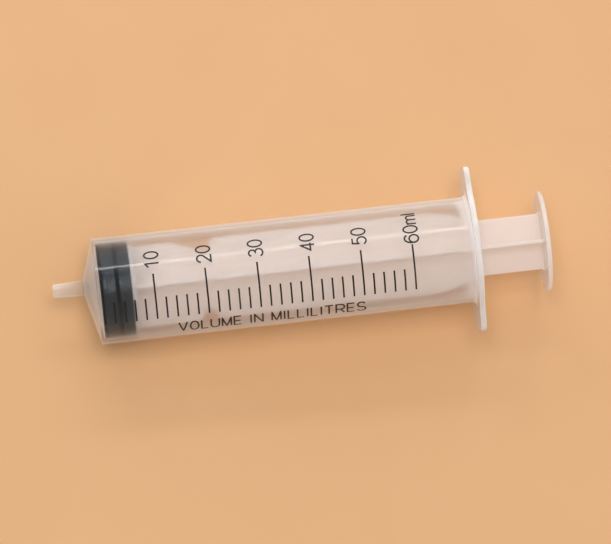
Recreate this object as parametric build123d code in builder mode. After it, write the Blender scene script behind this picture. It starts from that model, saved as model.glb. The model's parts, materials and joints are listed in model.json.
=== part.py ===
"""60 ml oral syringe with a slip nozzle: moulded barrel, rubber stopper and cross-shaped rod.

Millimetres.  +X runs along the barrel from the nozzle to the thumb disc, the finger wings reach
out along Y, and +Z is up as the syringe lies on a table.  The origin is on the barrel's axis, at
the front shoulder where the round wall meets the cone of the nose.  The plunger is pushed home.
"""
import os
from math import pi, tan, radians, atan, degrees

from build123d import *

# Barrel bore and scale
capacity = 60.0  # ml drawn over the whole scale
bore_d = 28.9
wall = 1.2

# Nose and slip nozzle
nose_depth = 3.6  # outside cone, from the shoulder to the nozzle's root
nose_wall = 1.9  # along the axis, at the nozzle's root
bore_start = 1.1  # the full bore begins this far behind the shoulder
shoulder_round = 0.25
nozzle_length = 9.0
nozzle_tip_d = 3.95
nozzle_taper = 0.06  # of diameter, per unit of length
nozzle_offset = 1.5  # the nozzle stands this far off the axis, towards +Y
nozzle_rim_round = 0.3
channel_d = 2.0

# Barrel mouth: stop ring and finger flange
over_travel = 4.1  # past the last graduation, before the stopper meets the ring
ring_height = 0.5
ring_width = 1.2
ring_to_flange = 4.0
flange_t = 1.6
flange_reach = 4.35  # the flange's round part, beyond the barrel's outside
flat_reach = 3.35  # its two flats
wing_reach = 8.7  # its two wings
wing_width = 20.0
wing_corner = 4.5
wing_root_round = 3.0
flange_fillet = 1.5
flange_rim_round = 0.4
mouth_chamfer = 0.5

# Rubber stopper
stopper_length = 9.2
stopper_seat_gap = 0.05  # from the end of the bore
rib_width = 0.9
rib_clearance = 0.03  # radial, rib to bore
rib_pitch = 4.65
land_depth = 0.42  # radial, below the bore
rib_round_share = 0.45  # of the height of a rib above its land
stopper_lip = 2.6  # behind the socket
socket_d = 16.2
socket_length = 3.3

# Plunger rod
spin_clearance = 0.05  # all round the head and neck, inside the stopper
neck_d = 10.0
pusher_gap = 0.9  # radial, front disc to bore
pusher_t = 1.3
fin_t = 1.1
fin_gap = 2.4  # radial, fins to bore
fin_edge_round = 0.2
shank_span = 16.4
taper_angle = 19.4
taper_round = 28.0
shank_past_flange = 0.5  # the taper ends this far behind the flange
notch_from_pusher = 21.1  # to the notch's middle
notch_depth = 3.6
notch_mouth = 5.6
notch_floor = 1.1
notch_ramp = 10.0  # the +Y fin's notch runs out over this length towards the nose
thumb_gap = 19.6  # free length between flange and thumb disc
thumb_d = 30.1
thumb_t = 1.3
thumb_rim_round = 0.5
thumb_gusset = 0.6
ejector_mark_d = 1.8
ejector_mark_depth = 0.2
ejector_mark_from_thumb = 3.4  # before the thumb disc's rear face
ejector_mark_y = 2.5

# Places along the axis and radii that follow from them
bore_r = bore_d / 2
barrel_r = bore_r + wall
wing_span = 2 * (barrel_r + wing_reach)
fin_r = bore_r - fin_gap
stroke = capacity * 1000 / (pi * bore_r**2)
nozzle_tip_x = -nose_depth - nozzle_length
nozzle_root_d = nozzle_tip_d + nozzle_taper * nozzle_length
inner_apex_x = nose_wall - nose_depth
stopper_front_x = bore_start + stopper_seat_gap
stopper_rear_x = stopper_front_x + stopper_length
rib_r = bore_r - rib_clearance
land_r = bore_r - land_depth
lip_x = stopper_rear_x - stopper_lip
ring_front_x = stopper_rear_x + stroke + over_travel
ring_rear_x = ring_front_x + ring_width
flange_front_x = ring_rear_x + ring_to_flange
flange_rear_x = flange_front_x + flange_t
pusher_x = stopper_rear_x + spin_clearance
pusher_rear_x = pusher_x + pusher_t
shank_x = flange_rear_x + shank_past_flange
taper_x = shank_x - (fin_r - shank_span / 2) / tan(radians(taper_angle))
notch_x = pusher_rear_x + notch_from_pusher
thumb_front_x = flange_rear_x + thumb_gap
thumb_rear_x = thumb_front_x + thumb_t


# Barrel: tube, oblique cone, tapered nozzle and winged flange, bored through
with BuildPart() as barrel:
    with BuildSketch(Plane.YZ):
        Circle(barrel_r)
    extrude(amount=flange_rear_x)
    with BuildSketch(Plane.YZ):
        Circle(barrel_r)
    with BuildSketch(Plane.YZ.offset(-nose_depth)):
        with Locations((nozzle_offset, 0)):
            Circle(nozzle_root_d / 2)
    loft()
    shoulder = barrel.edges().filter_by_position(Axis.X, 0, 0)
    fillet(shoulder, shoulder_round)
    with BuildSketch(Plane.YZ.offset(nozzle_tip_x)):
        with Locations((nozzle_offset, 0)):
            Circle(nozzle_tip_d / 2)
    extrude(amount=nozzle_length, taper=-degrees(atan(nozzle_taper / 2)))
    fillet(barrel.faces().sort_by(Axis.X)[0].edges(), nozzle_rim_round)

    # the flange's outline: a round with two flats to rest on, and two blunt wings
    with BuildSketch(Plane.YZ.offset(flange_front_x)) as flange:
        Circle(barrel_r + flange_reach)
        RectangleRounded(wing_span, wing_width, wing_corner)
        Rectangle(wing_span, 2 * (barrel_r + flat_reach), mode=Mode.INTERSECT)
        on_wing_side = flange.vertices().filter_by(lambda v: abs(abs(v.Y) - wing_width / 2) < 0.001)
        fillet(on_wing_side.sort_by(lambda v: abs(v.X))[:4], wing_root_round)
    extrude(amount=flange_t)
    rear_rim = barrel.faces().sort_by(Axis.X)[-1].edges()
    front_face = barrel.faces().filter_by(Axis.X).sort_by(Axis.X)[-2]
    fillet(rear_rim + front_face.outer_wire().edges(), flange_rim_round)
    at_flange = barrel.edges().filter_by(GeomType.CIRCLE).filter_by_position(
        Axis.X, flange_front_x, flange_front_x
    )
    neck_line = at_flange.filter_by(lambda e: abs(e.radius - barrel_r) < 0.001)
    fillet(neck_line, flange_fillet)

    # the bore, with the rounded ring inside its mouth that stops the stopper
    with BuildSketch(Plane.XY):
        with BuildLine():
            Polyline((ring_front_x, bore_r), (bore_start, bore_r), (bore_start, 0), (flange_rear_x, 0))
            Polyline(
                (flange_rear_x, 0),
                (flange_rear_x, bore_r + mouth_chamfer),
                (flange_rear_x - mouth_chamfer, bore_r),
                (ring_rear_x, bore_r),
            )
            ThreePointArc(
                (ring_rear_x, bore_r),
                (ring_front_x + ring_width / 2, bore_r - ring_height),
                (ring_front_x, bore_r),
            )
        make_face()
    revolve(axis=Axis.X, mode=Mode.SUBTRACT)
    with BuildSketch(Plane.YZ.offset(bore_start)):
        Circle(bore_r)
    with BuildSketch(Plane.YZ.offset(inner_apex_x)):
        with Locations((nozzle_offset, 0)):
            Circle(channel_d / 2)
    loft(mode=Mode.SUBTRACT)
    with BuildSketch(Plane.YZ.offset(nozzle_tip_x)):
        with Locations((nozzle_offset, 0)):
            Circle(channel_d / 2)
    extrude(amount=inner_apex_x - nozzle_tip_x, mode=Mode.SUBTRACT)
barrel.part.label = "barrel"


# Stopper: two ribs that wipe the bore, relieved lands, and a socket the rod's head snaps into
with BuildPart() as rubber_stopper:
    with BuildSketch(Plane.XY) as section:
        with Locations((stopper_front_x, 0)):
            Rectangle(stopper_length, land_r, align=(Align.MIN, Align.MIN))
        with Locations((stopper_front_x, 0), (stopper_front_x + rib_pitch, 0)):
            Rectangle(rib_width, rib_r, align=(Align.MIN, Align.MIN))
        corners = section.vertices().filter_by(lambda v: v.Y > 0)
        fillet(corners, rib_round_share * (rib_r - land_r))
        with Locations((lip_x, 0)):
            Rectangle(socket_length, socket_d / 2, align=(Align.MAX, Align.MIN), mode=Mode.SUBTRACT)
            Rectangle(
                stopper_lip,
                neck_d / 2 + spin_clearance,
                align=(Align.MIN, Align.MIN),
                mode=Mode.SUBTRACT,
            )
    revolve(axis=Axis.X)
rubber_stopper.part.label = "rubber_stopper"


# Rod: head, neck and pusher disc in front, four fins behind, thumb disc at the end
def fin(notch_front):
    """One fin standing out along +Y, whose notch opens notch_front ahead of its middle."""
    with BuildPart() as blade:
        with BuildSketch(Plane.XY) as side:
            with BuildLine():
                Polyline(
                    (pusher_rear_x, 0),
                    (pusher_rear_x, fin_r),
                    (taper_x, fin_r),
                    (shank_x, shank_span / 2),
                    (thumb_front_x - thumb_gusset, shank_span / 2),
                    (thumb_front_x, shank_span / 2 + thumb_gusset),
                    (thumb_front_x, 0),
                    close=True,
                )
            make_face()
            fillet(side.vertices().sort_by_distance((taper_x, fin_r))[0], taper_round)
            with BuildLine():
                Polyline(
                    (notch_x - notch_front, fin_r),
                    (notch_x - notch_floor / 2, fin_r - notch_depth),
                    (notch_x + notch_floor / 2, fin_r - notch_depth),
                    (notch_x + notch_mouth / 2, fin_r),
                    close=True,
                )
            make_face(mode=Mode.SUBTRACT)
        extrude(amount=fin_t / 2, both=True)
        outline = blade.faces().filter_by(Axis.Z).edges()
        fillet(outline.filter_by(lambda e: e.center().Y > shank_span / 2 - thumb_gusset), fin_edge_round)
    return blade.part


ramped_fin = fin(notch_ramp)
plain_fin = fin(notch_mouth / 2)

with BuildPart() as plunger_rod:
    with BuildSketch(Plane.XY) as section:
        with Locations((lip_x - spin_clearance, 0)):
            Rectangle(
                socket_length - 2 * spin_clearance,
                socket_d / 2 - spin_clearance,
                align=(Align.MAX, Align.MIN),
            )
            Rectangle(pusher_x - lip_x + spin_clearance, neck_d / 2, align=(Align.MIN, Align.MIN))
        with Locations((pusher_x, 0)):
            Rectangle(pusher_t, bore_r - pusher_gap, align=(Align.MIN, Align.MIN))
    revolve(axis=Axis.X)
    with BuildSketch(Plane.XY) as rim:
        with Locations((thumb_front_x, 0)):
            Rectangle(thumb_t, thumb_d / 2, align=(Align.MIN, Align.MIN))
        fillet(rim.vertices().group_by(Axis.Y)[-1], thumb_rim_round)
    revolve(axis=Axis.X)
    add(ramped_fin)
    for turn in (90, 180, 270):
        add(plain_fin.rotate(Axis.X, turn))
    with BuildSketch(Plane.XY.offset(fin_t / 2)):
        with Locations((thumb_rear_x - ejector_mark_from_thumb, ejector_mark_y)):
            Circle(ejector_mark_d / 2)
    extrude(amount=-ejector_mark_depth, mode=Mode.SUBTRACT)
plunger_rod.part.label = "plunger_rod"


os.makedirs("parts", exist_ok=True)
for piece in (barrel, rubber_stopper, plunger_rod):
    export_step(piece.part, f"parts/{piece.part.label}.step")
print("stroke to the last graduation", round(stroke, 2), "mm; stop at", round(stroke + over_travel, 2))
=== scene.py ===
import json
import math

import bpy
import numpy as np
from mathutils import Matrix, Vector


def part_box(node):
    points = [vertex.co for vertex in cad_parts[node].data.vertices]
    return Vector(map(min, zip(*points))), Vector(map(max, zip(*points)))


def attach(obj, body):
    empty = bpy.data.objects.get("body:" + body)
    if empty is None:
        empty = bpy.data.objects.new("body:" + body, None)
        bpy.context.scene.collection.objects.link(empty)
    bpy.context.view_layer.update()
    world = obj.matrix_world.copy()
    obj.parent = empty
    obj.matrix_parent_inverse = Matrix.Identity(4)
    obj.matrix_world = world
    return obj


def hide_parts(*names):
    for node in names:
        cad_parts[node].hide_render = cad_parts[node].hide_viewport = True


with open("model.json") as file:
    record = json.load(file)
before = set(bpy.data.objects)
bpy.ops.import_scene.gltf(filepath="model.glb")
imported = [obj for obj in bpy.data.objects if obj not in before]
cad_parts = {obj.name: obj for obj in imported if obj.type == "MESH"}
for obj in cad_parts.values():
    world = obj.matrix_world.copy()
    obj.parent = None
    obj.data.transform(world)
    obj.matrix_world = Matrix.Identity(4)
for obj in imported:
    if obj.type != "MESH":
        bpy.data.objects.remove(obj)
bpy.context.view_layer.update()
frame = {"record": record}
mm = 0.001

barrelLow, barrelHigh = (np.array(corner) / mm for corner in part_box("barrel"))
stopperLow, stopperHigh = (np.array(corner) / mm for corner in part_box("rubber_stopper"))
rodLow, rodHigh = (np.array(corner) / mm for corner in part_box("plunger_rod"))
print("frame loaded, overall", np.round(rodHigh - barrelLow, 2), "mm")


# mesh helpers: all shapes are worked out in mm and written in metres

# Walks a list of (x, r, round) corners and turns each into an arc of that radius, tangent to both
# runs, with a guard point just before and after it so that shading stays flat there.
def roundedProfile(corners, steps=6, guard=0.12):
    corners = np.array(corners, float)
    points = [corners[0, :2]]
    for before, here, after in zip(corners[:-2], corners[1:-1], corners[2:]):
        toBack, toNext = before[:2] - here[:2], after[:2] - here[:2]
        backLength, nextLength = np.linalg.norm(toBack), np.linalg.norm(toNext)
        toBack, toNext = toBack / backLength, toNext / nextLength
        if here[2] == 0:
            points.append(here[:2])
            continue
        halfAngle = math.acos(np.clip(toBack @ toNext, -1, 1)) / 2
        reach = here[2] / math.tan(halfAngle)
        middle = (toBack + toNext) / np.linalg.norm(toBack + toNext)
        centre = here[:2] + middle * here[2] / math.sin(halfAngle)
        start, end = here[:2] + toBack * reach - centre, here[:2] + toNext * reach - centre
        # an arc between two equal arms is their blend, weighted by sines
        sweep = math.pi - 2 * halfAngle
        share = np.linspace(0, 1, steps + 1)[:, None]
        arc = (np.sin((1 - share) * sweep) * start + np.sin(share * sweep) * end) / math.sin(sweep)
        points.append(here[:2] + toBack * min(reach + guard, (reach + backLength) / 2))
        points.extend(centre + arc)
        points.append(here[:2] + toNext * min(reach + guard, (reach + nextLength) / 2))
    points.append(corners[-1, :2])
    return np.array(points)


# grid[i, j] is a point in mm: i along the profile, j round the axis, where it closes. ring joins the
# last row to the first; otherwise a pole point shuts each end.
def surfaceFromGrid(name, grid, ring=False, sharpAbove=38):
    rows, columns = grid.shape[:2]
    i = np.arange(rows if ring else rows - 1)[:, None]
    j = np.arange(columns)[None, :]
    nextRow, nextColumn = (i + 1) % rows, (j + 1) % columns
    here, beside = i * columns + j, i * columns + nextColumn
    ahead, opposite = nextRow * columns + j, nextRow * columns + nextColumn
    faces = np.stack([here, beside, opposite, ahead], axis=-1).reshape(-1, 4).tolist()
    points = grid.reshape(-1, 3)
    if not ring:
        points = np.vstack([points, grid[0].mean(0), grid[-1].mean(0)])
        startPole, endPole = np.full(columns, rows * columns), np.full(columns, rows * columns + 1)
        first, second = j[0], nextColumn[0]
        lastRow = (rows - 1) * columns
        faces += np.stack([startPole, second, first], axis=-1).tolist()
        faces += np.stack([endPole, lastRow + first, lastRow + second], axis=-1).tolist()
    return meshObject(name, points, faces, sharpAbove)


# Links a smooth mesh of points in mm, with edges sharper than sharpAbove degrees kept sharp.
def meshObject(name, points, faces, sharpAbove=38):
    mesh = bpy.data.meshes.new(name)
    mesh.from_pydata((np.asarray(points) * mm).tolist(), [], faces)
    mesh.polygons.foreach_set("use_smooth", np.ones(len(mesh.polygons), bool))
    mesh.set_sharp_from_angle(angle=math.radians(sharpAbove))
    mesh.update()
    piece = bpy.data.objects.new(name, mesh)
    bpy.context.scene.collection.objects.link(piece)
    return piece


# Carries a profile of (x, r) round the X axis: y = r cos a + sideways, z = r sin a.
def turned(profile, columns, sideways=None):
    angle = np.linspace(0, 2 * np.pi, columns, endpoint=False)
    x = np.repeat(profile[:, :1], columns, axis=1)
    shift = np.zeros(len(profile)) if sideways is None else sideways
    y = profile[:, 1:2] * np.cos(angle) + shift[:, None]
    z = profile[:, 1:2] * np.sin(angle)
    return np.stack([x, y, z], axis=-1)


# material helpers

# sRGB hex to linear: below 0.04045 a straight line, above it a 2.4 power curve.
def linearColour(sRgbHex):
    channels = np.array([int(sRgbHex[k:k + 2], 16) / 255 for k in (0, 2, 4)])
    return (*np.where(channels <= 0.04045, channels / 12.92, ((channels + 0.055) / 1.055) ** 2.4), 1.0)


# Adds one node; settings fill its sockets or properties, links feed its sockets.
def addNode(tree, kind, settings=None, links=None):
    node = tree.nodes.new(kind)
    for key, value in (settings or {}).items():
        if isinstance(key, int) or key in node.inputs:
            node.inputs[key].default_value = value
        else:
            setattr(node, key, value)
    for key, source in (links or {}).items():
        tree.links.new(source, node.inputs[key])
    return node


def newMaterial(name):
    material = bpy.data.materials.new(name)
    material.use_nodes = True
    material.node_tree.nodes.clear()
    return material, material.node_tree


def finishMaterial(tree, shader):
    addNode(tree, "ShaderNodeOutputMaterial", links={"Surface": shader})


def dress(piece, material, body, slotName, *cadNodes):
    piece.data.materials.clear()
    piece.data.materials.append(material)
    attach(piece, body)
    if cadNodes:
        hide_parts(*cadNodes)


# barrel: one closed shell, from the nozzle's tip over the outside and back through the bore

barrelSizes = dict(
    wall=1.2, noseDepth=3.6, boreStart=1.1, innerApex=-1.7,
    nozzleTip=3.95 / 2, nozzleRoot=4.49 / 2, nozzleOffset=1.5, channel=1.0,
    tipRound=0.3, rootRound=0.45, shoulderRound=0.3, boreRound=0.25, apexRound=0.2,
    flangeThick=1.6, flangeFillet=1.5, rimRound=0.4, mouthChamfer=0.5, mouthRound=0.3,
    flangeReach=4.35, wingWidth=20.0, wingCorner=4.5, wingRoot=3.0, halvings=40,
    frontShares=(0.5, 0.9), rearShares=(0.95, 0.5, 0.1, 0.0),
    ringRear=5.6, ringWidth=1.2, ringHeight=0.5, columns=480,
    rowGap=(0.01, 0.05, 0.1),  # keeps rows apart at the tip, past the fillet and beside the ring
    milkStarts=(2.0, 1.0),  # the plain wall begins behind the shoulder and ends before the flange
    milkDepth=(4.5, 0.8, 0.6, 1.0, 1.0, 10.0, 10.0),
)
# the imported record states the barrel's outside as a mount, so its radius comes from there
mounts = {mount["name"]: mount for mount in frame["record"]["mounts"]}
barrelRadius = mounts["barrel_outside"]["dims"]["r_mm"]
boreRadius = barrelRadius - barrelSizes["wall"]


# Radius of the flange at each angle. The outline is where a distance function is nought: a circle
# joined by round fillets to a bar with round corners, then cut by two flats. It is found by halving
# the gap between a radius inside it and one outside.
def flangeOutline(angle):
    s = barrelSizes
    low, high = np.full_like(angle, barrelRadius), np.full_like(angle, barrelHigh[1] + 1)
    for _ in range(s["halvings"]):
        middle = (low + high) / 2
        y, z = middle * np.cos(angle), middle * np.sin(angle)
        toCircle = middle - barrelRadius - s["flangeReach"]
        boxY = np.abs(y) - barrelHigh[1] + s["wingCorner"]
        boxZ = np.abs(z) - s["wingWidth"] / 2 + s["wingCorner"]
        toBar = np.hypot(boxY.clip(0), boxZ.clip(0)) + np.maximum(boxY, boxZ).clip(None, 0)
        toBar -= s["wingCorner"]
        fillet = s["wingRoot"]
        joined = np.minimum(toCircle, toBar).clip(fillet) - np.hypot(
            (fillet - toCircle).clip(0), (fillet - toBar).clip(0))
        outside = np.maximum(joined, np.abs(z) - barrelHigh[2]) > 0
        high, low = np.where(outside, middle, high), np.where(outside, low, middle)
    return low


# A profile carried round the axis, out along the outside and back through the bore. Nose and channel
# slide sideways with x, and the flange runs from a base circle to its outline.
def buildBarrel():
    s = barrelSizes
    tipGap, filletGap, ringGap = s["rowGap"]
    rear = barrelHigh[0]
    front = rear - s["flangeThick"]
    outer, bore = barrelRadius, boreRadius
    baseFront, baseRear = outer + s["flangeFillet"] + filletGap, bore + s["mouthChamfer"]
    angle = np.linspace(0, 2 * np.pi, s["columns"], endpoint=False)
    outline = flangeOutline(angle)

    # outside, nozzle tip to flange root, as (x, r) with round corners
    tip = barrelLow[0]
    outside = roundedProfile([
        (tip, s["channel"], 0), (tip, s["nozzleTip"], s["tipRound"]),
        (-s["noseDepth"], s["nozzleRoot"], s["rootRound"]), (0, outer, s["shoulderRound"]),
        (front, outer, s["flangeFillet"]), (front, baseFront, 0),
    ])
    sideways = s["nozzleOffset"] * np.clip(-outside[:, 0] / s["noseDepth"], 0, 1)
    outsideGrid = turned(outside, s["columns"], sideways)

    # flange: each row is (x, share of the way from the base circle to the outline, inset)
    bend = np.linspace(0, np.pi / 2, 6)
    rimIn, rimDown = s["rimRound"] * (1 - np.cos(bend)), s["rimRound"] * (1 - np.sin(bend))
    frontRim = np.stack([front + rimIn, rimDown], 1)
    rearRim = np.stack([front + rear - frontRim[::-1, 0], frontRim[::-1, 1]], 1)
    flangeRows = [(front, baseFront, share, s["rimRound"]) for share in s["frontShares"]]
    flangeRows += [(x, baseFront, 1.0, inset) for x, inset in frontRim]
    flangeRows += [(x, baseFront, 1.0, inset) for x, inset in rearRim]
    flangeRows += [(rear, baseRear, share, s["rimRound"]) for share in s["rearShares"]]
    rows = np.array(flangeRows)
    radius = rows[:, 1:2] + rows[:, 2:3] * (outline - rows[:, 3:4] - rows[:, 1:2])
    flangeX = np.repeat(rows[:, :1], s["columns"], 1)
    flangeGrid = np.stack([flangeX, radius * np.cos(angle), radius * np.sin(angle)], -1)

    # bore: chamfered mouth, stop ring as a low arch, long wall, inside cone and channel
    ringRear = rear - s["ringRear"]
    ringStations = np.linspace(0, np.pi, 11)
    ring = np.stack([
        ringRear - s["ringWidth"] * (1 - np.cos(ringStations)) / 2,
        bore - s["ringHeight"] * np.sin(ringStations)], 1)
    mouth = roundedProfile([
        (rear, baseRear, 0), (rear - s["mouthChamfer"], bore, s["mouthRound"]),
        (ringRear + ringGap, bore, 0)])
    longWall = roundedProfile([
        (ring[-1, 0] - ringGap, bore, 0), (s["boreStart"], bore, s["boreRound"]),
        (s["innerApex"], s["channel"], s["apexRound"]), (tip + tipGap, s["channel"], 0)])
    inside = np.vstack([mouth[1:], ring, longWall])
    downCone = (s["boreStart"] - inside[:, 0]) / (s["boreStart"] - s["innerApex"])
    insideGrid = turned(inside, s["columns"], s["nozzleOffset"] * downCone.clip(0, 1))
    grid = np.concatenate([outsideGrid, flangeGrid, insideGrid])
    shell = surfaceFromGrid("barrel_shell", grid, ring=True)

    # how deep the plastic is where light crosses it, as a multiple of the plain wall
    wallStart, wallEnd = s["milkStarts"][0], front - s["milkStarts"][1]
    stations = [tip, -s["noseDepth"], 0, wallStart, wallEnd, front, rear]
    depth = np.interp(grid[..., 0].ravel(), stations, s["milkDepth"])
    attribute = shell.data.attributes.new("milkDepth", "FLOAT", "POINT")
    attribute.data.foreach_set("value", depth.astype(np.float32))
    return shell


barrelShell = buildBarrel()
print("barrel shell", len(barrelShell.data.polygons), "faces")


# stopper: two wiping ribs, relieved lands, rear socket for the rod's head

stopperSizes = dict(
    ribWidth=0.9, ribPitch=4.65, landDepth=0.39, ribRound=0.17, frontRound=0.2,
    rearRound=0.35, lip=2.6, socketRadius=8.1, socketLength=3.3, socketRound=0.2, neckRadius=5.05,
    poleRadius=0.05, columns=256,
)


# A profile of (x, r) carried round the axis: front face, rib, land, rib, land, rear, then the socket.
def buildStopper():
    s = stopperSizes
    front, rear, rib = stopperLow[0], stopperHigh[0], stopperHigh[1]
    land = rib - s["landDepth"]
    secondRib = front + s["ribPitch"]
    lipX = rear - s["lip"]
    socketX = lipX - s["socketLength"]
    corners = [
        (front, s["poleRadius"], 0), (front, rib, s["frontRound"]),
        (front + s["ribWidth"], rib, s["ribRound"]),
        (front + s["ribWidth"], land, s["ribRound"]), (secondRib, land, s["ribRound"]),
        (secondRib, rib, s["ribRound"]), (secondRib + s["ribWidth"], rib, s["ribRound"]),
        (secondRib + s["ribWidth"], land, s["ribRound"]), (rear, land, s["rearRound"]),
        (rear, s["neckRadius"], s["socketRound"]), (lipX, s["neckRadius"], s["socketRound"]),
        (lipX, s["socketRadius"], s["socketRound"]), (socketX, s["socketRadius"], s["socketRound"]),
        (socketX, s["poleRadius"], 0),
    ]
    return surfaceFromGrid("stopper_moulding", turned(roundedProfile(corners), s["columns"]))


stopperMoulding = buildStopper()
print("stopper", len(stopperMoulding.data.polygons), "faces")


# plunger rod: head, neck and pusher disc, cross of four fins, thumb disc, in one closed skin

rodSizes = dict(
    headRadius=8.05, headLength=3.2, headRound=0.3, neckRadius=5.0, neckRound=0.2, spinGap=0.05,
    pusherRadius=13.55, pusherThick=1.3, pusherRound=0.25, poleRadius=0.05,
    finThick=1.1, finRadius=12.05, edgeRound=0.28, sideSteps=18, rowEvery=4.0,
    shankRadius=8.2, shankPastFlange=0.5, shankRound=1.0, taperAngle=19.4, taperRound=28.0,
    notchFromPusher=21.1, notchDepth=3.6, notchFloor=1.1, notchMouth=5.6, notchRamp=10.0,
    thumbThick=1.3, thumbRim=0.5, discStep=0.6, discBlends=(0.6, 0.2),
    gusset=0.6, gussetRound=0.5, pastThumb=0.01,
    markRadius=0.9, markWire=0.13, markSunk=0.03, markBefore=3.4, markY=2.5,
)
pusherX = stopperHigh[0] + rodSizes["spinGap"]
finX = pusherX + rodSizes["pusherThick"]
notchX = finX + rodSizes["notchFromPusher"]
taperEnd = barrelHigh[0] + rodSizes["shankPastFlange"]
taperFall = rodSizes["finRadius"] - rodSizes["shankRadius"]
taperStart = taperEnd - taperFall / math.tan(math.radians(rodSizes["taperAngle"]))
thumbX = rodHigh[0] - rodSizes["thumbThick"]


# Height of a fin along x: full height, a rounded taper to the slim shank, a small gusset at the thumb
# disc, less the V notch, whose sides are straight lines down to a narrow floor. Also returns the
# places along x where the outline bends.
def finHeights(x, notchFront):
    s = rodSizes
    outline = roundedProfile([
        (0, s["finRadius"], 0), (taperStart, s["finRadius"], s["taperRound"]),
        (taperEnd, s["shankRadius"], s["shankRound"]),
        (thumbX - s["gusset"], s["shankRadius"], s["gussetRound"]),
        (thumbX + s["pastThumb"], s["shankRadius"] + s["gusset"], 0)], steps=10)
    height = np.interp(x, outline[:, 0], outline[:, 1])
    floor = s["finRadius"] - s["notchDepth"]
    notch = np.interp(
        x - notchX,
        [-notchFront, -s["notchFloor"] / 2, s["notchFloor"] / 2, s["notchMouth"] / 2],
        [s["finRadius"], floor, floor, s["finRadius"]])
    return np.minimum(height, notch), outline[:, 0]


# The skin round the axis, one row for each station. A fin's outline runs out along one side, round
# its tip and back; share blends every point of it straight towards its own place on a circle.
# heights has one row a station and one column a fin; share and radius have one value a station. On
# circles smaller than the neck the tip's turn stops growing, so that the rows to a pole never fold.
def crossSections(heights, share, radius):
    s = rodSizes
    half, edge = s["finThick"] / 2, s["edgeRound"]
    along = np.linspace(0, 1, s["sideSteps"], endpoint=False)
    bend = np.linspace(0, np.pi / 2, 5)
    tall = heights[:, :, None]
    share, radius = share[:, None, None], radius[:, None, None]
    sideOut = half + along * (tall - edge - half)
    tipOut = tall - edge + edge * np.sin(bend)
    out = np.concatenate([sideOut, tipOut, tipOut[..., ::-1], sideOut[..., ::-1]], -1)
    tipAcross = half - edge + edge * np.cos(bend)
    side = np.full(len(along), half)
    across = np.concatenate([-side, -tipAcross, tipAcross[::-1], side])
    tipTurn = np.linspace(-half, half, 2 * len(bend)) / radius.clip(s["neckRadius"])
    sideTurn = -np.pi / 4 + along * (np.pi / 4 + tipTurn[..., :1])
    turn = np.concatenate([sideTurn, tipTurn, -sideTurn[..., ::-1]], -1)
    out = (1 - share) * out + share * radius * np.cos(turn)
    across = (1 - share) * across + share * radius * np.sin(turn)
    quarter = np.arange(4)[None, :, None] * np.pi / 2
    y = out * np.cos(quarter) - across * np.sin(quarter)
    z = out * np.sin(quarter) + across * np.cos(quarter)
    return y.reshape(len(y), -1), z.reshape(len(z), -1)


# The rod as rows of (x, share, radius): share 1 is a circle of that radius, share 0 the bare cross.
def buildRod():
    s = rodSizes
    headX, neckX = rodLow[0], rodLow[0] + s["headLength"]
    pusherRoot, rimRadius = s["pusherRadius"] - s["discStep"], rodHigh[1]
    rimRoot = rimRadius - 2 * s["discStep"]
    front = roundedProfile([
        (headX, s["poleRadius"], 0), (headX, s["headRadius"], s["headRound"]),
        (neckX, s["headRadius"], s["neckRound"]), (neckX, s["neckRadius"], s["neckRound"]),
        (pusherX, s["neckRadius"], s["neckRound"]), (pusherX, s["pusherRadius"], s["pusherRound"]),
        (finX, s["pusherRadius"], s["pusherRound"]), (finX, pusherRoot, 0)])
    rim = roundedProfile([
        (thumbX, rimRoot, 0), (thumbX, rimRadius, s["thumbRim"]),
        (rodHigh[0], rimRadius, s["thumbRim"]), (rodHigh[0], s["poleRadius"], 0)])
    halfFloor, halfMouth = s["notchFloor"] / 2, s["notchMouth"] / 2
    notches = notchX + np.array([-s["notchRamp"], -halfMouth, -halfFloor, halfFloor, halfMouth])
    breaks = finHeights(np.zeros(1), halfMouth)[1]
    breaks = breaks[(breaks > finX) & (breaks < thumbX)]
    between = np.arange(finX + s["rowEvery"] / 2, thumbX - s["rowEvery"] / 4, s["rowEvery"])
    middle = np.unique(np.round(np.concatenate([[finX, thumbX], between, notches, breaks]), 4))
    blends = np.array(s["discBlends"])
    x = np.concatenate([front[:, 0], np.full(2, finX), middle, np.full(2, thumbX), rim[:, 0]])
    share = np.concatenate([
        np.ones(len(front)), blends, np.zeros(len(middle)), blends[::-1], np.ones(len(rim))])
    radius = np.concatenate([
        front[:, 1], np.full(2, pusherRoot), np.full(len(middle), s["pusherRadius"]),
        np.full(2, rimRoot), rim[:, 1]])
    ramped = finHeights(x, s["notchRamp"])[0]
    plain = finHeights(x, halfMouth)[0]
    y, z = crossSections(np.stack([ramped, plain, plain, plain], 1), share, radius)
    return surfaceFromGrid("plunger_moulding", np.stack([np.repeat(x[:, None], y.shape[1], 1), y, z], -1))


# A ring of thin wire half sunk in the web, the witness that a round ejector pin leaves: a circle
# carried round a circle.
def buildEjectorMark():
    s = rodSizes
    roundRing = np.linspace(0, 2 * np.pi, 48, endpoint=False)
    roundWire = np.linspace(0, 2 * np.pi, 12, endpoint=False)
    a, b = np.meshgrid(roundRing, roundWire, indexing="ij")
    reach = s["markRadius"] + s["markWire"] * np.cos(b)
    x = rodHigh[0] - s["markBefore"] + reach * np.cos(a)
    y = s["markY"] + reach * np.sin(a)
    z = s["finThick"] / 2 - s["markSunk"] + s["markWire"] * np.sin(b)
    return surfaceFromGrid("ejector_mark", np.stack([x, y, z], -1)[::-1], ring=True, sharpAbove=60)


plungerMoulding = buildRod()
ejectorMark = buildEjectorMark()
print("plunger", len(plungerMoulding.data.polygons), "faces")


# printed scale: strokes of ink a few hundredths of a mm thick, wrapped round the barrel

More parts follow.
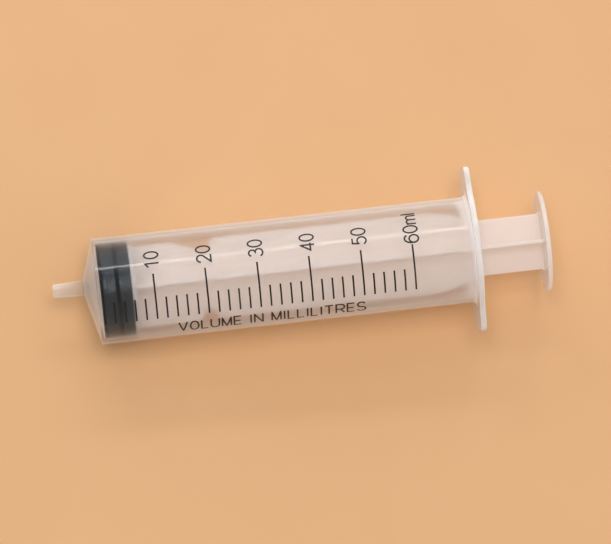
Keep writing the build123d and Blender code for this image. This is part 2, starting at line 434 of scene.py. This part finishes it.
scaleSizes = dict(
    zeroX=1.57, fullVolume=60, step=2, labelEvery=10, stroke=0.5, inkLift=0.015, inkThick=0.035, bend=0.35,
    tickEnd=39.4, minorStart=14.0, majorStart=-12.0, labelStart=-18.3, lastStart=-14.0, digitHeight=4.1,
    digitWidth=2.35, digitGap=0.7, captionX=22.9, captionLength=55.0, captionAngle=57.0, captionHeight=4.3,
    captionGap=0.3, captionWords="VOLUME IN MILLILITRES", letterShare=0.8, mitreLimit=(0.2, 0.6),
)


# Points at centre + radius times (cos, sin), from one angle in degrees to the other.
def arc(centreX, centreY, radiusX, radiusY, start, end):
    turn = np.radians(np.linspace(start, end, 25))
    return [*zip(centreX + radiusX * np.cos(turn), centreY + radiusY * np.sin(turn))]


# each letter is one or more pen strokes in a box one high and one wide
strokes = {
    "0": [arc(0.5, 0.5, 0.5, 0.5, 90, 450)],
    "1": [[(0.12, 0.76), (0.62, 1), (0.62, 0)]],
    "2": [arc(0.5, 0.71, 0.47, 0.29, 175, -30) + [(0, 0), (1, 0)]],
    "3": [arc(0.46, 0.755, 0.41, 0.245, 160, -90) + arc(0.48, 0.27, 0.5, 0.27, 80, -160)],
    "4": [[(0.74, 0), (0.74, 1), (0, 0.3), (1, 0.3)]],
    "5": [[(0.9, 1), (0.2, 1)] + arc(0.5, 0.33, 0.5, 0.32, 140, -155)],
    "6": [arc(0.5, 0.33, 0.5, 0.33, 150, 510), arc(0.56, 0.5, 0.56, 0.5, 40, 190)],
    "m": [[(0, 0), (0, 0.68)], [(0, 0.4)] + arc(0.25, 0.45, 0.25, 0.22, 180, 0) + [(0.5, 0)],
          [(0.5, 0.4)] + arc(0.75, 0.45, 0.25, 0.22, 180, 0) + [(1, 0)]],
    "l": [[(0.5, 0), (0.5, 1)]],
    "V": [[(0, 1), (0.5, 0), (1, 1)]],
    "O": [arc(0.5, 0.5, 0.5, 0.5, 90, 450)],
    "L": [[(0, 1), (0, 0), (1, 0)]],
    "U": [[(0, 1)] + arc(0.5, 0.38, 0.5, 0.38, 180, 360) + [(1, 1)]],
    "M": [[(0, 0), (0, 1), (0.5, 0), (1, 1), (1, 0)]],
    "E": [[(1, 1), (0, 1), (0, 0), (1, 0)], [(0, 0.52), (0.9, 0.52)]],
    "I": [[(0.5, 0), (0.5, 1)]],
    "N": [[(0, 0), (0, 1), (1, 0), (1, 1)]],
    "T": [[(0, 1), (1, 1)], [(0.5, 1), (0.5, 0)]],
    "R": [[(0, 0), (0, 1)] + arc(0.6, 0.74, 0.4, 0.26, 90, -90) + [(0, 0.48)], [(0.55, 0.48), (1, 0)]],
    "S": [arc(0.5, 0.745, 0.45, 0.255, 25, 265) + arc(0.5, 0.245, 0.5, 0.245, 80, -160)],
    " ": [],
}
# widths of the letters that aren't as wide as letterShare says
wide = {"I": 0.12, "l": 0.1, "L": 0.62, "E": 0.68, "M": 0.86, "m": 1.35, " ": 0.3}


# Pen strokes of the words in mm, from (0, 0), and how long they are altogether.
def written(words, width, height, gap):
    lines, at = [], 0.0
    for letter in words:
        usual = scaleSizes["letterShare"] if letter.isalpha() else 1.0
        letterWidth = wide.get(letter, usual) * width
        for stroke in strokes[letter]:
            lines.append(np.array(stroke) * (letterWidth, height) + (at, 0))
        at += letterWidth + gap
    return lines, at - gap


# A point at x, taken along mm round the barrel from the top towards -Y, lifted off its wall.
def onBarrel(x, along, lift):
    r = barrelRadius + lift
    angle = along / barrelRadius
    return np.stack(np.broadcast_arrays(x, -r * np.sin(angle), r * np.cos(angle)), -1)


# Sweeps a flat rectangle along a stroke drawn on the unrolled barrel, mitred at the corners up to a
# limit, then rolls it up. Returns its points and faces.
def inkRibbon(line):
    s = scaleSizes
    lengths = np.hypot(*np.diff(line, axis=0).T)
    counts = np.ceil(lengths / s["bend"]).clip(1).astype(int)
    pieces = [np.linspace(a, b, n, endpoint=False) for a, b, n in zip(line[:-1], line[1:], counts)]
    line = np.vstack(pieces + [line[-1:]])
    step = np.diff(line, axis=0)
    step /= np.hypot(*step.T)[:, None]
    normal = np.stack([-step[:, 1], step[:, 0]], 1)
    before, after = np.vstack([normal[:1], normal]), np.vstack([normal, normal[-1:]])
    mitre = before + after
    leastSum, leastCosine = s["mitreLimit"]
    mitre /= np.hypot(*mitre.T)[:, None].clip(leastSum)
    mitre /= (mitre * after).sum(1, keepdims=True).clip(leastCosine)
    corners = []
    for side, lift in ((1, 0), (-1, 0), (-1, 1), (1, 1)):
        flat = line + side * s["stroke"] / 2 * mitre
        corners.append(onBarrel(flat[:, 0], flat[:, 1], s["inkLift"] + lift * s["inkThick"]))
    i = np.arange(len(line) - 1)[:, None] * 4
    k = np.arange(4)[None, :]
    turn = (k + 1) % 4
    faces = np.stack([i + k, i + turn, i + 4 + turn, i + 4 + k], -1).reshape(-1, 4)
    last = (len(line) - 1) * 4
    faces = np.vstack([faces, [[3, 2, 1, 0]], [[last, last + 1, last + 2, last + 3]]])
    return np.stack(corners, 1).reshape(-1, 3), faces


# Joins the ribbons of many strokes into one mesh.
def inkMesh(name, lines):
    ribbons = [inkRibbon(line) for line in lines]
    starts = np.cumsum([0] + [len(points) for points, _ in ribbons[:-1]])
    faces = np.vstack([some + start for start, (_, some) in zip(starts, ribbons)])
    return meshObject(name, np.vstack([points for points, _ in ribbons]), faces.tolist())


# Ticks, and numerals that read up the barrel with their tops towards the nozzle, each centred on its
# tick. The distance between ticks is volume over bore area.
def buildScale():
    s = scaleSizes
    perMillilitre = 1000 / (math.pi * boreRadius ** 2)
    perDegree = barrelRadius * math.pi / 180
    ticks, numerals = [], []
    for volume in range(0, s["fullVolume"] + 1, s["step"]):
        x = s["zeroX"] + volume * perMillilitre
        labelled = volume % s["labelEvery"] == 0
        start = s["majorStart"] if labelled else s["minorStart"]
        ticks.append(np.array([(x, start * perDegree), (x, s["tickEnd"] * perDegree)]))
        if labelled and volume:
            last = volume == s["fullVolume"]
            words = f"{volume}ml" if last else str(volume)
            lines, _ = written(words, s["digitWidth"], s["digitHeight"], s["digitGap"])
            foot = s["lastStart"] if last else s["labelStart"]
            numerals += [np.stack([x + s["digitHeight"] / 2 - line[:, 1], foot * perDegree - line[:, 0]], 1)
                         for line in lines]
    return inkMesh("scale_ticks", ticks), inkMesh("scale_numerals", numerals)


# Words that run along the barrel below the scale, stretched to captionLength.
def buildCaption():
    s = scaleSizes
    height = s["captionHeight"]
    lines, length = written(s["captionWords"], height, height, height * s["captionGap"])
    stretch = s["captionLength"] / length
    foot = s["captionAngle"] * barrelRadius * math.pi / 180 + height / 2
    lines = [np.stack([s["captionX"] + line[:, 0] * stretch, foot - line[:, 1]], 1) for line in lines]
    return inkMesh("scale_caption", lines)


scaleTicks, scaleNumerals = buildScale()
scaleCaption = buildCaption()
print("scale printed")


# materials

# Natural polypropylene, injection moulded in a polished tool: clear with a milky veil that thickens
# where the wall is met edge-on, and a crisp wet-looking gloss.
def mouldedBarrelPolypropylene():
    veil = dict(near="fefdfd", far="f6f8fc", perSurface=0.05, steepness=1.9, leastCosine=0.1, gloss=0.08,
                ior=1.42, thinForward=0.95, thickForward=0.1, thick=0.45, clearness=0.985,
                haze=0.42, hazeBend=1.09, streakLong=40.0, streakWide=3.846, unevenness=0.2)
    material, tree = newMaterial("moulded_clear_polypropylene")
    place = addNode(tree, "ShaderNodeTexCoord").outputs["Object"]
    # flow streaks a few mm wide run along the wall
    along, across = 1 / (veil["streakLong"] * mm), 1 / (veil["streakWide"] * mm)
    stretch = addNode(tree, "ShaderNodeMapping", {"Scale": (along, across, across)}, {"Vector": place})
    streaks = addNode(tree, "ShaderNodeTexNoise", {"Scale": 1.0, "Detail": 3.0},
                      {"Vector": stretch.outputs[0]})
    uneven = addNode(tree, "ShaderNodeMapRange",
                     {"To Min": 1 - veil["unevenness"], "To Max": 1 + veil["unevenness"]},
                     {"Value": streaks.outputs["Fac"]})
    # depth crossed: perSurface over the slant's cosine to a power, times milkDepth and the streaks
    facing = addNode(tree, "ShaderNodeLayerWeight", {"Blend": 0.5}).outputs["Facing"]
    cosine = addNode(tree, "ShaderNodeMath", {"operation": "SUBTRACT", 0: 1.0}, {1: facing})
    cosine = addNode(tree, "ShaderNodeMath", {"operation": "MAXIMUM", 1: veil["leastCosine"]},
                     {0: cosine.outputs[0]})
    slant = addNode(tree, "ShaderNodeMath", {"operation": "POWER", 1: veil["steepness"]},
                    {0: cosine.outputs[0]})
    path = addNode(tree, "ShaderNodeMath", {"operation": "DIVIDE", 0: veil["perSurface"]},
                   {1: slant.outputs[0]})
    deep = addNode(tree, "ShaderNodeAttribute", {"attribute_name": "milkDepth"})
    path = addNode(tree, "ShaderNodeMath", {"operation": "MULTIPLY"},
                   {0: path.outputs[0], 1: deep.outputs["Fac"]})
    path = addNode(tree, "ShaderNodeMath", {"operation": "MULTIPLY"},
                   {0: path.outputs[0], 1: uneven.outputs["Result"]})
    # most light goes on through; the longer its way in the plastic, the more of it comes back
    shares = {"From Max": veil["thick"], "To Min": veil["thinForward"], "To Max": veil["thickForward"]}
    forward = addNode(tree, "ShaderNodeMapRange", shares, {"Value": path.outputs[0]})
    path = addNode(tree, "ShaderNodeMath", {"operation": "MULTIPLY", 1: -1.0}, {0: path.outputs[0]})
    clear = addNode(tree, "ShaderNodeMath", {"operation": "EXPONENT"}, {0: path.outputs[0]})
    front = addNode(tree, "ShaderNodeBsdfDiffuse", {"Color": linearColour(veil["near"])})
    back = addNode(tree, "ShaderNodeBsdfTranslucent", {"Color": linearColour(veil["far"])})
    milk = addNode(tree, "ShaderNodeMixShader",
                   links={0: forward.outputs["Result"], 1: front.outputs[0], 2: back.outputs[0]})
    straight = addNode(tree, "ShaderNodeBsdfTransparent", {"Color": (*[veil["clearness"]] * 3, 1)})
    # haze turns what lies behind by a few degrees, so near things stay sharp and far ones soften
    haze = addNode(tree, "ShaderNodeBsdfRefraction", {"Roughness": 1.0, "IOR": veil["hazeBend"]})
    through = addNode(tree, "ShaderNodeMixShader", {0: veil["haze"]},
                      {1: straight.outputs[0], 2: haze.outputs[0]})
    body = addNode(tree, "ShaderNodeMixShader",
                   links={0: clear.outputs[0], 1: milk.outputs[0], 2: through.outputs[0]})
    shine = addNode(tree, "ShaderNodeBsdfGlossy", {"Roughness": veil["gloss"]})
    gloss = outsideGloss(tree, veil["ior"])
    surface = addNode(tree, "ShaderNodeMixShader", links={0: gloss, 1: body.outputs[0], 2: shine.outputs[0]})
    finishMaterial(tree, surface.outputs[0])
    return material


# Fresnel share of mirror light, kept to the side that faces the air.
def outsideGloss(tree, ior):
    fresnel = addNode(tree, "ShaderNodeFresnel", {"IOR": ior})
    inside = addNode(tree, "ShaderNodeNewGeometry").outputs["Backfacing"]
    outside = addNode(tree, "ShaderNodeMath", {"operation": "SUBTRACT", 0: 1.0}, {1: inside})
    kept = addNode(tree, "ShaderNodeMath", {"operation": "MULTIPLY"},
                   {0: fresnel.outputs[0], 1: outside.outputs[0]})
    return kept.outputs[0]


# The same natural polypropylene in thicker ribs: whiter, light soaks through the thin fins, and the
# gloss is satin because the tool is only stoned.
def mouldedRodPolypropylene():
    milk = dict(colour="fefbfa", soak=0.6, clear=0.17, gloss=0.22, ior=1.49, grain=0.625, grainDepth=0.1)
    material, tree = newMaterial("moulded_milky_polypropylene")
    place = addNode(tree, "ShaderNodeTexCoord").outputs["Object"]
    # tool texture: a fine uneven satin, drawn at 0.6 mm so that it shows
    grain = addNode(tree, "ShaderNodeTexNoise", {"Scale": 1 / (milk["grain"] * mm), "Detail": 2.0},
                    {"Vector": place})
    bump = addNode(tree, "ShaderNodeBump", {"Strength": 0.06, "Distance": milk["grainDepth"] * mm},
                   {"Height": grain.outputs["Fac"]})
    front = addNode(tree, "ShaderNodeBsdfDiffuse", {"Color": linearColour(milk["colour"])},
                    {"Normal": bump.outputs[0]})
    back = addNode(tree, "ShaderNodeBsdfTranslucent", {"Color": linearColour(milk["colour"])})
    body = addNode(tree, "ShaderNodeMixShader", {0: milk["soak"]}, {1: front.outputs[0], 2: back.outputs[0]})
    through = addNode(tree, "ShaderNodeBsdfTransparent", {"Color": (1, 1, 1, 1)})
    body = addNode(tree, "ShaderNodeMixShader", {0: milk["clear"]},
                   {1: body.outputs[0], 2: through.outputs[0]})
    shine = addNode(tree, "ShaderNodeBsdfGlossy", {"Roughness": milk["gloss"]}, {"Normal": bump.outputs[0]})
    gloss = outsideGloss(tree, milk["ior"])
    surface = addNode(tree, "ShaderNodeMixShader", links={0: gloss, 1: body.outputs[0], 2: shine.outputs[0]})
    finishMaterial(tree, surface.outputs[0])
    return material


# Blue-black synthetic rubber, compression moulded and siliconed: the lands keep a bloomy blue-grey
# half gloss, and the ribs, wetted by oil against the wall, lose it and go black.
def mouldedStopperRubber():
    rubber = dict(dark="08131b", bloom="101d27", wet="010202", roughness=0.3, wetRoughness=0.5, ior=1.4,
                  bloomSize=2.381, bloomDepth=0.1, ribFrom=14.1, ribTo=14.25)
    material, tree = newMaterial("moulded_siliconed_rubber")
    place = addNode(tree, "ShaderNodeTexCoord").outputs["Object"]
    bloom = addNode(tree, "ShaderNodeTexNoise", {"Scale": 1 / (rubber["bloomSize"] * mm), "Detail": 4.0},
                    {"Vector": place})
    colour = addNode(tree, "ShaderNodeMix", {"data_type": "RGBA"}, {0: bloom.outputs["Fac"]})
    colour.inputs[6].default_value = linearColour(rubber["dark"])
    colour.inputs[7].default_value = linearColour(rubber["bloom"])
    bump = addNode(tree, "ShaderNodeBump", {"Strength": 0.15, "Distance": rubber["bloomDepth"] * mm},
                   {"Height": bloom.outputs["Fac"]})
    land = addNode(tree, "ShaderNodeBsdfPrincipled",
                   {"Roughness": rubber["roughness"], "IOR": rubber["ior"]},
                   {"Base Color": colour.outputs[2], "Normal": bump.outputs[0]})
    wet = addNode(tree, "ShaderNodeBsdfPrincipled", {
        "Base Color": linearColour(rubber["wet"]), "Roughness": rubber["wetRoughness"],
        "Specular IOR Level": 0.0})
    # the ribs are told from the lands by their distance from the axis
    across = addNode(tree, "ShaderNodeVectorMath", {"operation": "MULTIPLY", 1: (0, 1, 1)}, {0: place})
    radius = addNode(tree, "ShaderNodeVectorMath", {"operation": "LENGTH"}, {0: across.outputs[0]})
    rib = addNode(tree, "ShaderNodeMapRange",
                  {"From Min": rubber["ribFrom"] * mm, "From Max": rubber["ribTo"] * mm},
                  {"Value": radius.outputs["Value"]})
    surface = addNode(tree, "ShaderNodeMixShader",
                      links={0: rib.outputs["Result"], 1: land.outputs[0], 2: wet.outputs[0]})
    finishMaterial(tree, surface.outputs[0])
    return material


# Black screen ink, cured: opaque, near black, with an uneven semi-gloss.
def screenPrintedInk():
    ink = dict(colour="090806", thin="14120e", roughness=0.5, spread=0.4)
    material, tree = newMaterial("screen_printed_ink")
    place = addNode(tree, "ShaderNodeTexCoord").outputs["Object"]
    spread = addNode(tree, "ShaderNodeTexNoise", {"Scale": 1 / (ink["spread"] * mm), "Detail": 2.0},
                     {"Vector": place})
    colour = addNode(tree, "ShaderNodeMix", {"data_type": "RGBA"}, {0: spread.outputs["Fac"]})
    colour.inputs[6].default_value = linearColour(ink["colour"])
    colour.inputs[7].default_value = linearColour(ink["thin"])
    surface = addNode(tree, "ShaderNodeBsdfPrincipled", {"Roughness": ink["roughness"]},
                      {"Base Color": colour.outputs[2]})
    finishMaterial(tree, surface.outputs[0])
    return material


# Plain pale matt board under the object, with the slightest unevenness.
def mattBoard():
    board = dict(colour="e9b98a", shade="e4b383", roughness=0.9, shine=0.2, cloud=33.333)
    material, tree = newMaterial("matt_board")
    place = addNode(tree, "ShaderNodeTexCoord").outputs["Object"]
    cloud = addNode(tree, "ShaderNodeTexNoise", {"Scale": 1 / (board["cloud"] * mm), "Detail": 5.0},
                    {"Vector": place})
    colour = addNode(tree, "ShaderNodeMix", {"data_type": "RGBA"}, {0: cloud.outputs["Fac"]})
    colour.inputs[6].default_value = linearColour(board["colour"])
    colour.inputs[7].default_value = linearColour(board["shade"])
    surface = addNode(tree, "ShaderNodeBsdfPrincipled",
                      {"Roughness": board["roughness"], "Specular IOR Level": board["shine"]},
                      {"Base Color": colour.outputs[2]})
    finishMaterial(tree, surface.outputs[0])
    return material


barrelPlastic = mouldedBarrelPolypropylene()
rodPlastic = mouldedRodPolypropylene()
stopperRubber = mouldedStopperRubber()
ink = screenPrintedInk()
dress(barrelShell, barrelPlastic, "barrel", "barrel_plastic", "barrel")
dress(stopperMoulding, stopperRubber, "stopper", "stopper_rubber", "rubber_stopper")
dress(plungerMoulding, rodPlastic, "rod", "rod_plastic", "plunger_rod")
dress(ejectorMark, rodPlastic, "rod", "rod_plastic")
for inked in (scaleTicks, scaleNumerals, scaleCaption):
    dress(inked, ink, "barrel", "barrel_plastic")
print("materials on")


# table, lights and camera

studio = dict(
    tableSize=3000,
    key=dict(tilt=10.5, distance=1500, size=(600, 480), power=8.6, colour="fffaf4"),
    strip=dict(tilt=48.8, distance=1300, size=(800, 110), power=2.4, colour="ffffff"),
    room={-90: (0.56, 0.50, 0.45), -3: (0.50, 0.45, 0.41), 3: (0.38, 0.46, 0.54),
          43: (0.42, 0.50, 0.58), 50: (1.15, 1.15, 1.15), 90: (1.3, 1.3, 1.3)},
    camera=dict(target=(61.96, -1.18, 0.0), distance=1470, pitch=-3.2, tip=0.377, roll=-6.508, view=7.015,
                nearest=50, farthest=20000),
)


# A square board that touches the flange's flat and the barrel's shoulder, so it leans by the angle
# between them.
def buildTable():
    half = studio["tableSize"] / 2
    flangeX = barrelHigh[0] - barrelSizes["flangeThick"] / 2
    slope = (barrelRadius - barrelHigh[2]) / flangeX
    corners = [(-half, -half), (half, -half), (half, half), (-half, half)]
    points = [(x, y, -barrelRadius + slope * x) for x, y in corners]
    board = meshObject("table_board", points, [[0, 1, 2, 3]])
    board.data.materials.append(mattBoard())


# A flat lamp on the arc over the object, tilt degrees from straight up towards +Y, facing it.
def addLight(name, s):
    lamp = bpy.data.lights.new(name, "AREA")
    lamp.shape, lamp.size, lamp.size_y = "RECTANGLE", s["size"][0] * mm, s["size"][1] * mm
    lamp.energy, lamp.color = s["power"], linearColour(s["colour"])[:3]
    holder = bpy.data.objects.new(name, lamp)
    turn = math.radians(s["tilt"])
    centreX, reach = studio["camera"]["target"][0] * mm, s["distance"] * mm
    holder.location = (centreX, reach * math.sin(turn), reach * math.cos(turn))
    holder.rotation_euler = (-turn, 0, 0)
    bpy.context.scene.collection.objects.link(holder)
    return holder


# Looks down at the target, turned about the target's own Y, X and Z in that order.
def addCamera():
    s = studio["camera"]
    lens = bpy.data.cameras.new("camera")
    lens.angle = math.radians(s["view"])
    lens.clip_start, lens.clip_end = s["nearest"] * mm, s["farthest"] * mm
    camera = bpy.data.objects.new("camera", lens)
    turn = (Matrix.Rotation(math.radians(s["pitch"]), 4, "Y")
            @ Matrix.Rotation(math.radians(s["tip"]), 4, "X")
            @ Matrix.Rotation(math.radians(s["roll"]), 4, "Z"))
    aim = Matrix.Translation(Vector(s["target"]) * mm)
    camera.matrix_world = aim @ turn @ Matrix.Translation((0, 0, s["distance"] * mm))
    bpy.context.scene.collection.objects.link(camera)
    bpy.context.scene.camera = camera


# The room is told by its tilt from straight up, measured about the X axis: dim and warm towards -Y,
# cool overhead, bright like a window beyond 45 degrees towards +Y.
def setRoom():
    world = bpy.data.worlds.new("soft_room")
    world.use_nodes = True
    tree = world.node_tree
    tree.nodes.clear()
    direction = addNode(tree, "ShaderNodeTexCoord").outputs["Generated"]
    part = addNode(tree, "ShaderNodeSeparateXYZ", links={0: direction})
    tilt = addNode(tree, "ShaderNodeMath", {"operation": "ARCTAN2"},
                   {0: part.outputs["Y"], 1: part.outputs["Z"]})
    share = addNode(tree, "ShaderNodeMapRange", {"From Min": -math.pi / 2, "From Max": math.pi / 2},
                    {"Value": tilt.outputs[0]})
    ramp = addNode(tree, "ShaderNodeValToRGB", links={0: share.outputs["Result"]})
    stops = ramp.color_ramp.elements
    for degrees in list(studio["room"])[1:-1]:
        stops.new((degrees + 90) / 180)
    for stop, (degrees, colour) in zip(stops, sorted(studio["room"].items())):
        stop.position, stop.color = (degrees + 90) / 180, (*colour, 1)
    glow = addNode(tree, "ShaderNodeBackground", links={"Color": ramp.outputs["Color"]})
    addNode(tree, "ShaderNodeOutputWorld", links={"Surface": glow.outputs[0]})
    bpy.context.scene.world = world
    bpy.context.scene.view_settings.view_transform = "Standard"


buildTable()
key = addLight("key_softbox", studio["key"])
key.visible_glossy = False  # it lights and casts the shadow, but leaves no patch on the gloss
addLight("strip_lamp", studio["strip"])
addCamera()
setRoom()
print("studio set")

bpy.context.view_layer.update()
